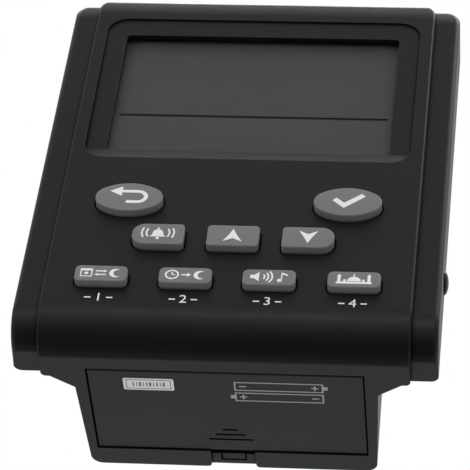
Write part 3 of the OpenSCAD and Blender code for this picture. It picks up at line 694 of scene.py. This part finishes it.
def go(x, y, z=0.0):
    """Extrudes what is selected by a step."""
    bpy.ops.mesh.extrude_region_move(TRANSFORM_OT_translate={"value": (x, y, z)})


def turn(x, y, degrees, steps):
    """Spins what is selected about a centre, counterclockwise."""
    bpy.ops.mesh.spin(steps=steps, angle=math.radians(degrees), center=(x, y, 0), axis=(0, 0, -1))


def fill_outline():
    bpy.ops.mesh.select_all(action="SELECT")
    bpy.ops.mesh.remove_doubles(threshold=WELD)
    bpy.ops.mesh.edge_face_add()


def rounded_outline(name, w, h, radii, steps=8):
    """A filled rectangle; radii run from the lower right corner counterclockwise."""
    corners = [(1, -1), (1, 1), (-1, 1), (-1, -1)]
    centres = [(sx * (w / 2 - r), sy * (h / 2 - r)) for (sx, sy), r in zip(corners, radii)]
    piece = first_point(name, centres[0][0], -h / 2)
    for i, (centre, r) in enumerate(zip(centres, radii)):
        turn(*centre, 90, steps)
        if i < 3:
            along = Vector(centres[i + 1]) - Vector(centre)
            step = [(0, along.y), (along.x, 0), (0, along.y)][i]
            go(*step)
    fill_outline()
    return piece


def oval_outline(name, w, h, end_r, steps=14):
    """A filled oval of four tangent arcs."""
    run = w / 2 - end_r
    flat_r = (run * run + h * h / 4 - end_r * end_r) / (h - 2 * end_r)
    lean = math.degrees(math.atan2(flat_r - h / 2, run))
    start = math.radians(-lean)
    piece = first_point(name, run + end_r * math.cos(start), end_r * math.sin(start))
    turn(run, 0, 2 * lean, steps)
    turn(0, h / 2 - flat_r, 180 - 2 * lean, 2 * steps)
    turn(-run, 0, 2 * lean, steps)
    turn(0, flat_r - h / 2, 180 - 2 * lean, 2 * steps)
    fill_outline()
    return piece


# %% Picking faces and seating
def pick_faces(piece, test):
    """Selects the faces that pass a test. It stays in face mode, because going back to
    vertices would also take in any face whose corners are all picked."""
    bpy.ops.mesh.select_mode(type="FACE")
    bpy.ops.mesh.select_all(action="DESELECT")
    mesh = bmesh.from_edit_mesh(piece.data)
    mesh.normal_update()
    for face in mesh.faces:
        if test(face):
            face.select_set(True)
    bmesh.update_edit_mesh(piece.data)


def face_out():
    bpy.ops.mesh.select_all(action="SELECT")
    bpy.ops.mesh.normals_make_consistent(inside=False)


def seat(piece, place, body, material, smooth=35):
    """Back to object mode; the mesh takes its place, finish and body."""
    clear_hands()
    piece.data.transform(place)
    piece.select_set(True)
    bpy.context.view_layer.objects.active = piece
    bpy.ops.object.shade_smooth_by_angle(angle=math.radians(smooth))
    piece.data.materials.clear()
    piece.data.materials.append(material)
    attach(piece, body)
    return piece


# %% [markdown]
# ## Nine keys
# A key on the real clock is one moulding: a cap with softly rounded rims above the
# face, a flange that stops it falling out, and a post that presses a rubber dome. The
# outline is filled, extruded past the flange to the top, the top rim takes a bevel, the
# flange is pushed out of the sides, and a round post is set into the underside.

# %% Model the keys
FLANGE = 1.0 * mm
FLANGE_T = 0.9 * mm
KEY_RIM = 0.3 * mm
POST_R, POST_BITE = 2.1 * mm, 0.2 * mm
TOP_BACK = 0.05 * mm
NEAR = 0.1 * mm
OVAL_END_R = 3.8 * mm
END_R, INNER_R, LOW_R = 3.2 * mm, 1.0 * mm, 1.4 * mm

key_styles = {
    "exit_key": "oval", "set_key": "oval",
    "alarm_key": "left", "up_key": "middle", "down_key": "right",
    "calendar_key": "low", "iqamah_key": "low", "sound_key": "low", "azan_key": "low",
}


def key_outline(name, style, w, h):
    if style == "oval":
        return oval_outline(name, w, h, OVAL_END_R)
    right = {"right": END_R, "low": LOW_R}.get(style, INNER_R)
    left = {"left": END_R, "low": LOW_R}.get(style, INNER_R)
    return rounded_outline(name, w, h, [right, right, left, left])


def make_key(node, style):
    """Replaces a key's solid; returns where its top is. The top stays a coat of ink and
    a little more below the solid's, so that the sign doesn't stand out of the box."""
    (x, y), (w, h), (low, top) = on_face(node)
    top -= TOP_BACK
    piece = key_outline(node + "_cap", style, w - 2 * FLANGE, h - 2 * FLANGE)
    bpy.ops.transform.translate(value=(0, 0, flange_low))
    go(0, 0, FLANGE_T)
    go(0, 0, top - flange_low - FLANGE_T)
    face_out()
    pick_faces(piece, lambda f: f.normal.z > 0.9 and f.calc_center_median().z > top - NEAR)
    bpy.ops.mesh.bevel(offset=KEY_RIM, segments=5, profile=0.5, affect="EDGES",
                       clamp_overlap=False)
    pick_faces(piece, lambda f: abs(f.normal.z) < 0.1
               and flange_low < f.calc_center_median().z < flange_low + FLANGE_T)
    bpy.ops.mesh.extrude_region_shrink_fatten(TRANSFORM_OT_shrink_fatten={"value": FLANGE})
    post = flange_low + POST_BITE - low
    bpy.ops.mesh.primitive_cylinder_add(vertices=32, radius=POST_R, depth=post,
                                        location=(0, 0, low + post / 2))
    face_out()
    place = FACE @ Matrix.Translation((x, y, 0))
    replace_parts(seat(piece, place, node, finish["key_plastic"]), node)
    return x, y, top


def flange_level(node):
    """Lowest level of the widest part of a key, which is its flange."""
    points = [v.co - origin for v in nodes[node].data.vertices]
    widest = max(p.dot(ACROSS) for p in points)
    return min(p.dot(OUT) for p in points if p.dot(ACROSS) > widest - NEAR)


flange_low = flange_level("exit_key")
key_tops = {node: make_key(node, style) for node, style in key_styles.items()}
print("keys:", {k: [round(c / mm, 2) for c in v] for k, v in key_tops.items()})

# %% [markdown]
# ## Signs
# The keys carry white pad-printed signs, kept generic: a return arrow, a tick, a bell,
# two arrowheads, a calendar page swapped for a crescent, a clock that leads to one, a
# loudspeaker with a note, and a dome between towers. Each is drawn flat in millimetres
# from a few patches, rings and arcs, joined, and given the thickness of a coat of ink.

# %% Drawing helpers for signs
INK = 0.03 * mm


def patch(points):
    """A flat shape through points in millimetres."""
    (x, y), rest = points[0], points[1:]
    piece = first_point("patch", x * mm, y * mm)
    for px, py in rest:
        go((px - x) * mm, (py - y) * mm)
        x, y = px, py
    fill_outline()
    clear_hands()
    return piece


def bar(x, y, w, h):
    return patch([(x - w / 2, y - h / 2), (x + w / 2, y - h / 2),
                  (x + w / 2, y + h / 2), (x - w / 2, y + h / 2)])


def disc(x, y, r):
    clear_hands()
    bpy.ops.mesh.primitive_circle_add(vertices=32, radius=r * mm, fill_type="NGON",
                                      location=(x * mm, y * mm, 0))
    return bpy.context.object


def arc(x, y, r, width, start, sweep):
    """A band round a centre, from an angle through a sweep in degrees."""
    a = math.radians(start)
    inner = r - width / 2
    piece = first_point("arc", (x + inner * math.cos(a)) * mm, (y + inner * math.sin(a)) * mm)
    go(width * math.cos(a) * mm, width * math.sin(a) * mm)
    bpy.ops.mesh.select_all(action="SELECT")
    turn(x * mm, y * mm, sweep, max(6, round(abs(sweep) / 8)))
    bpy.ops.mesh.select_all(action="SELECT")
    bpy.ops.mesh.remove_doubles(threshold=WELD)
    clear_hands()
    return piece


def crescent(x, y, r):
    """Two arcs that meet in horns, open to the right."""
    horn = 50
    back_off = 0.45
    hx, hy = r * math.cos(math.radians(horn)), r * math.sin(math.radians(horn))
    inner = math.degrees(math.atan2(hy, hx - back_off * r))
    piece = first_point("crescent", (x + hx) * mm, (y + hy) * mm)
    turn(x * mm, y * mm, 360 - 2 * horn, 20)
    turn((x + back_off * r) * mm, y * mm, -(360 - 2 * inner), 16)
    fill_outline()
    clear_hands()
    return piece


def printed(name, shapes, place, body, ink=white_ink):
    """Joins flat shapes into one coat of ink."""
    clear_hands()
    for shape in shapes:
        shape.select_set(True)
    bpy.context.view_layer.objects.active = shapes[0]
    if len(shapes) > 1:
        bpy.ops.object.join()
    coat = bpy.context.object
    coat.name = coat.data.name = name
    bpy.ops.object.transform_apply()
    bpy.ops.object.mode_set(mode="EDIT")
    bpy.ops.mesh.select_all(action="SELECT")
    go(0, 0, INK)
    face_out()
    return seat(coat, place, body, ink, smooth=20)


# %% Print the signs
def arrowhead(sign):
    """A notched arrowhead, up for 1 and down for -1."""
    return patch([(x * sign, y * sign) for x, y in
                  [(0, 2.3), (-0.98, 0.1), (-2.3, -2.25), (0, -1.05), (2.3, -2.25), (0.98, 0.1)]])


def return_arrow():
    return [arc(1.7, 0, 1.7, 0.85, -90, 180), bar(0.1, 1.7, 3.2, 0.85), bar(0.6, -1.7, 2.2, 0.85),
            patch([(-4.0, 1.7), (-1.5, 0.15), (-1.5, 3.25)])]


def tick():
    return [patch([(-3.1, 0.3), (-2.3, 1.15), (-0.7, -0.5), (2.7, 2.5), (3.5, 1.65),
                   (-0.7, -2.2)])]


def bell():
    rings = [arc(0, 0.3, r, 0.42, start - reach_up, 2 * reach_up)
             for r, reach_up in ((2.75, 32), (3.85, 27)) for start in (0, 180)]
    return [patch([(-1.95, -1.15), (1.95, -1.15), (1.35, -0.5), (1.25, 0.5), (0.85, 1.25),
                   (0, 1.6), (-0.85, 1.25), (-1.25, 0.5), (-1.35, -0.5)]),
            disc(0, -1.7, 0.42), disc(0, 1.95, 0.28)] + rings


def page_and_crescent():
    frame_parts = [bar(-3.4, 1.05, 2.9, 0.75), bar(-3.4, -1.3, 2.9, 0.3),
                   bar(-4.7, -0.2, 0.3, 1.7), bar(-2.1, -0.2, 0.3, 1.7), bar(-3.4, -0.2, 0.9, 0.8)]
    arrows = [bar(-0.25, 0.62, 2.0, 0.42), patch([(0.6, 0.08), (1.55, 0.62), (0.6, 1.16)]),
              bar(0.25, -0.62, 2.0, 0.42), patch([(-0.6, -0.08), (-1.55, -0.62), (-0.6, -1.16)])]
    return frame_parts + arrows + [crescent(3.5, 0, 1.5)]


def clock_to_crescent():
    clock = [arc(-3.1, 0, 1.45, 0.42, 0, 360), bar(-3.1, 0.45, 0.32, 0.95),
             bar(-2.7, -0.05, 0.8, 0.3)]
    arrow = [bar(-0.2, 0, 1.4, 0.45), patch([(0.5, -0.75), (1.45, 0), (0.5, 0.75)])]
    return clock + arrow + [crescent(3.5, 0, 1.5)]


def loudspeaker():
    waves = [arc(-2.1, 0, r, 0.42, -42, 84) for r in (1.1, 2.0, 2.9)]
    note = [disc(2.55, -1.15, 0.6), bar(3.0, 0.1, 0.32, 2.5),
            patch([(2.84, 1.6), (3.16, 1.6), (4.4, 0.9), (4.4, 0.4), (3.16, 0.95)])]
    return [patch([(-4.4, -0.6), (-3.5, -0.6), (-2.3, -1.65), (-2.3, 1.65), (-3.5, 0.6),
                   (-4.4, 0.6)])] + waves + note


def dome_and_towers():
    dome = first_point("dome", 1.65 * mm, -0.85 * mm)
    turn(0, -0.85 * mm, 180, 18)
    fill_outline()
    clear_hands()
    towers = [piece for side in (-1, 1) for piece in (
        bar(3.5 * side, -0.05, 0.75, 1.9),
        patch([(3.5 * side - 0.55, 0.9), (3.5 * side + 0.55, 0.9), (3.5 * side, 1.75)]),
        bar(2.2 * side, -0.6, 0.6, 0.8))]
    return [dome, bar(0, -1.35, 8.4, 0.7), bar(0, 1.1, 0.28, 0.7), disc(0, 1.5, 0.24)] + towers


signs = {
    "exit_key": return_arrow(), "set_key": tick(), "alarm_key": bell(),
    "up_key": [arrowhead(1)], "down_key": [arrowhead(-1)],
    "calendar_key": page_and_crescent(), "iqamah_key": clock_to_crescent(),
    "sound_key": loudspeaker(), "azan_key": dome_and_towers(),
}
LARGER = Matrix.Diagonal((1.2, 1.15, 1, 1))
for node, shapes in signs.items():
    place = FACE @ Matrix.Translation(key_tops[node])
    if key_styles[node] == "oval":
        place = place @ LARGER
    printed(node + "_sign", shapes, place, node)
print("signs:", len(signs))

# %% [markdown]
# ## Marks on the housing
# Under each of the four low keys the cover has a small printed mark; here they are
# plain numbers between dashes. The font is Blender's own, made into a mesh.

# %% Number the low keys
MARK_Y = 10.6 * mm
DIGIT_H, FONT_TO_DIGIT = 2.9, 1.35
DASH_X, DASH_W, DASH_T = 2.6, 1.5, 0.4


def digit(text):
    """A number as a flat mesh, centred on the origin."""
    clear_hands()
    bpy.ops.object.text_add()
    word = bpy.context.object
    word.data.body = text
    word.data.align_x = "CENTER"
    word.data.align_y = "CENTER"
    word.data.size = DIGIT_H * FONT_TO_DIGIT * mm
    word.data.resolution_u = 4
    bpy.ops.object.convert(target="MESH")
    return bpy.context.object


low_keys = [node for node, style in key_styles.items() if style == "low"]
for number, node in enumerate(low_keys, 1):
    shapes = [digit(str(number))] + [bar(x, 0, DASH_W, DASH_T) for x in (-DASH_X, DASH_X)]
    place = FACE @ Matrix.Translation((key_tops[node][0], MARK_Y, 0))
    printed(f"mark_{number}", shapes, place, "housing")
print("marks:", len(low_keys))

# %% [markdown]
# ## Display line
# Switched off, the display shows one thing: a black printed line that parts the large
# time from the small prayer times below. It lies on the polariser, behind the window.

# %% Part the display
LINE_Y = 84.2
LINE_W, LINE_T = 67.4, 0.8
glass_front = on_face("lcd_panel")[2][1]
printed("display_line", [bar(0, LINE_Y, LINE_W, LINE_T)],
        FACE @ Matrix.Translation((0, 0, glass_front)), "housing", black_ink)
print("display line at", round(glass_front / mm, 2), "mm below the face")

# %% [markdown]
# ## Print and label on the door
# The battery door carries a printed plan of the two cells, each with its plus and minus
# ends, and a small silvered label with a row of strokes where a batch code would be.
# Both lie on its underside and ride on the door, so that they swing with it. Drawn flat
# and turned over, they read the right way from below.

# %% Print the cells and stick the label
CELLS_AT = (12.5, 12.2)
CELL_W, CELL_H, CELL_LINE, CELL_Y = 21, 3.1, 0.36, 2.1
TIP_W, TIP_H = 1.0, 1.3
SIGN_W, SIGN_LINE, SIGN_IN = 1.7, 0.42, 2
LABEL_AT = (-18.2, 10.2)
LABEL_W, LABEL_H, LABEL_R = 12, 4.6, 0.5
LABEL_T = 0.08 * mm
BORDER_W, BORDER_H, BORDER_LINE = 10.6, 3.4, 0.16
STROKE_PITCH, STROKE_H = 0.8, 1.5
STROKE_WIDTHS = (0.3, 0.18, 0.48, 0.18, 0.3, 0.48, 0.18, 0.3, 0.18, 0.48)
door_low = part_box("battery_door")[0].z
OVER = Matrix.Rotation(math.pi, 4, "X")
grey_ink = make_paint("grey_ink", (0.3, 0.3, 0.3))
print_ink = make_paint("label_ink", (0.1, 0.1, 0.1), 0.6)


def under_door(x, y, depth=0.0):
    """A place on the door's underside: x across and y back from the crease, in mm."""
    return Matrix.Translation((x * mm, crease.y + y * mm, door_low - depth)) @ OVER


def box_lines(y, w, h, line):
    """Four bars round a rectangle that is centred at a height y."""
    side_x = w / 2 - line / 2
    return [bar(0, y + h / 2, w, line), bar(0, y - h / 2, w, line),
            bar(side_x, y, line, h - line), bar(-side_x, y, line, h - line)]


def cell_sign(y, way):
    """A cell's outline with its plus end to the right for 1 and to the left for -1."""
    tip = way * (CELL_W + TIP_W) / 2
    plus = way * (CELL_W / 2 - SIGN_IN)
    stub = (SIGN_W - SIGN_LINE) / 2
    rise = (SIGN_LINE + stub) / 2
    return box_lines(y, CELL_W, CELL_H, CELL_LINE) + [
        bar(tip, y, TIP_W, TIP_H), bar(-plus, y, SIGN_W, SIGN_LINE),
        bar(plus, y, SIGN_W, SIGN_LINE), bar(plus, y + rise, SIGN_LINE, stub),
        bar(plus, y - rise, SIGN_LINE, stub)]


printed("cell_signs", cell_sign(CELL_Y, 1) + cell_sign(-CELL_Y, -1), under_door(*CELLS_AT),
        "battery_door", grey_ink)
label = rounded_outline("silver_label", LABEL_W * mm, LABEL_H * mm, [LABEL_R * mm] * 4, steps=5)
go(0, 0, LABEL_T)
face_out()
seat(label, under_door(*LABEL_AT), "battery_door", silver_label)
border = box_lines(0, BORDER_W, BORDER_H, BORDER_LINE)
first = -STROKE_PITCH * (len(STROKE_WIDTHS) - 1) / 2
strokes = [bar(first + STROKE_PITCH * i, 0, width, STROKE_H)
           for i, width in enumerate(STROKE_WIDTHS)]
printed("label_print", border + strokes, under_door(*LABEL_AT, LABEL_T), "battery_door",
        print_ink)
print("door dressed; label", LABEL_T / mm, "mm thick")

# %% [markdown]
# ## Battery springs
# The solids show the springs as six-sided tubes. A real one is round wire: a dead coil
# lies flat on the plate, the next turns climb and narrow, and the last closes on the
# cell. A poly curve with a bevel gives round wire along a path from a formula.

# %% Wind the springs
WIRE = 0.7 * mm
TURNS = 3
WIDE_R, SMALL_R = 4.2 * mm, 2.5 * mm
SPRING_LEN = 5.0 * mm
STEPS = 28
DEAD, CLOSING = 0.6, 0.5
HAIR = 0.04 * WIRE


def round_wire(name, points, thickness, smooth=True):
    """A curve through points, given a round section and made a mesh."""
    clear_hands()
    path = bpy.data.curves.new(name, "CURVE")
    path.dimensions = "3D"
    run = path.splines.new("NURBS" if smooth else "POLY")
    run.points.add(len(points) - 1)
    for spot, point in zip(run.points, points):
        spot.co = (*point, 1)
    if smooth:
        run.order_u = 4
        run.use_endpoint_u = True
        run.resolution_u = 6
    path.bevel_depth = thickness / 2
    path.bevel_resolution = 4
    path.use_fill_caps = True
    piece = bpy.data.objects.new(name, path)
    bpy.context.collection.objects.link(piece)
    piece.select_set(True)
    bpy.context.view_layer.objects.active = piece
    bpy.ops.object.convert(target="MESH")
    piece = bpy.context.object
    bpy.ops.object.mode_set(mode="EDIT")
    bpy.ops.mesh.select_all(action="SELECT")
    bpy.ops.mesh.remove_doubles(threshold=0.001 * mm)
    face_out()
    return piece


def spring_path(start, sign):
    """Dead coil, climbing turns and a closing half turn, along x from a plate, and a
    hair tighter than the solid, so that the round wire stays in its box."""
    points = []
    total = DEAD + TURNS + CLOSING
    for i in range(round(total * STEPS) + 1):
        t = i / STEPS
        climb = min(max((t - DEAD) / TURNS, 0), 1)
        r = WIDE_R + (SMALL_R - WIDE_R) * climb - HAIR
        rise = WIRE / 2 + (SPRING_LEN - WIRE) * climb
        a = 2 * math.pi * (t - DEAD)
        points.append(start + Vector((sign * rise, sign * r * math.cos(a), r * math.sin(a))))
    return points


low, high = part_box("battery_springs")
spring_y = [low.y + WIDE_R + WIRE / 2, high.y - WIDE_R - WIRE / 2]
spring_z = (low.z + high.z) / 2
left_spring = round_wire("spring_left", spring_path(Vector((low.x, spring_y[0], spring_z)), 1),
                         WIRE, smooth=False)
seat(left_spring, Matrix(), "housing", finish["contact_steel"], 60)
right_spring = round_wire("spring_right", spring_path(Vector((high.x, spring_y[1], spring_z)), -1),
                          WIRE, smooth=False)
seat(right_spring, Matrix(), "housing", finish["contact_steel"], 60)
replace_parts(left_spring, "battery_springs")
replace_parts(right_spring, "battery_springs")
print("springs wound:", TURNS, "turns of", WIRE / mm, "mm wire")

# %% [markdown]
# ## Leads
# Inside, two leads carry the battery to the board and two more the sound to the
# speaker. They follow the same points as the solids, back from the crease and up.

# %% Lay the leads
lead_routes = {
    "battery_lead_red": [[(-30.8, 28.4, 20), (-31, 28, 23), (-30, 26, 29), (-27, 23, 37),
                          (-23, 19.5, 43), (-20, 18.6, 47.2)]],
    "battery_lead_black": [[(-30.8, 13.6, 20), (-31, 14.5, 23), (-29, 17, 30), (-24, 18, 37),
                            (-19, 17.5, 41.5), (-17, 17.9, 44.2)]],
    "speaker_leads": [[(13, 27.6, 50.9), (15.2, 25, 54), (16.6, 21, 58.5), (16, 17.2, 61.7)],
                      [(11.9, 26.2, 55.6), (12.4, 23.6, 58.6), (13, 20.6, 61.2),
                       (13, 17.3, 62.4)]],
}
lead_width = {"battery_lead_red": 1.1, "battery_lead_black": 1.1, "speaker_leads": 0.9}
for node, routes in lead_routes.items():
    slot = slot_of[node]
    for number, route in enumerate(routes, 1):
        points = [Vector(p) * mm + Vector((0, crease.y, 0)) for p in route]
        lead = round_wire(f"{node}_{number}", points, lead_width[node] * mm)
        seat(lead, Matrix(), "housing", finish[slot], 60)
        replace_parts(lead, node)
print("leads laid:", sum(len(routes) for routes in lead_routes.values()))
